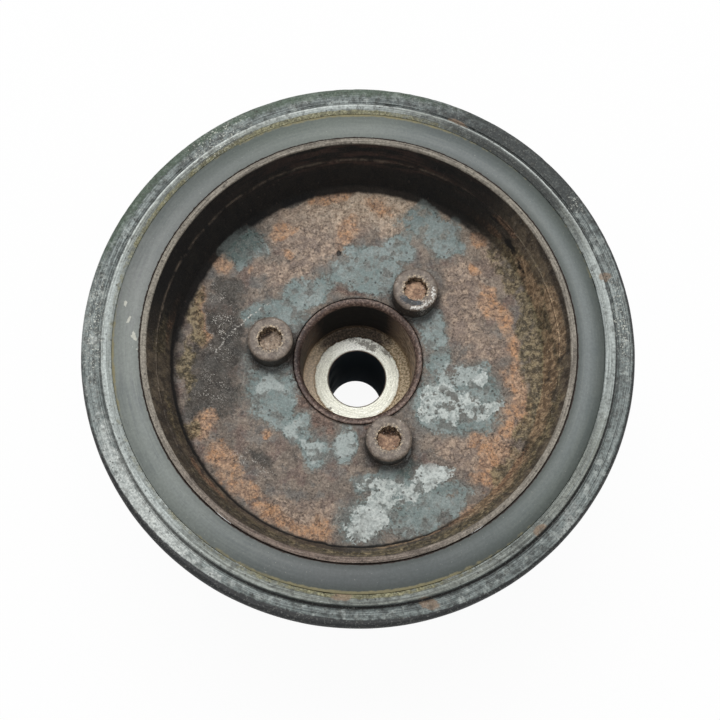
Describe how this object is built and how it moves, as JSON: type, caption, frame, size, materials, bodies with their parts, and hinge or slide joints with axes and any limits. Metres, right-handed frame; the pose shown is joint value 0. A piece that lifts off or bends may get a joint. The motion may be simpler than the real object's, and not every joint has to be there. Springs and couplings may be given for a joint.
{
  "type": "damped belt pulley",
  "caption": "Damped belt pulley: cast hub cup with a deep recess, bonded rubber ring and ribbed belt ring, bolted to a nose hub with a recessed bolt seat.",
  "frame": {"origin": "centre of the nose hub's rear face, on the pulley's axis", "axes": "+Z along the axis, out of the open recess; +X and +Y across, with a bolt about halfway between them"},
  "size_m": [0.15, 0.15, 0.094],
  "materials": {
    "cast_cup": "rusted, with remains of blue-grey paint",
    "nose_steel": "dark brown patina, bright turned bolt seat",
    "bonded_rubber": "smooth satin",
    "ring_iron": "worn turned faces, dark track",
    "bolt_steel": "rusted"
  },
  "bodies": {
    "root": {"hub_cup": "cast_cup", "nose_hub": "nose_steel", "rubber_ring": "bonded_rubber", "belt_ring": "ring_iron", "bolt_1": "bolt_steel", "bolt_2": "bolt_steel", "bolt_3": "bolt_steel"}
  },
  "joints": []
}
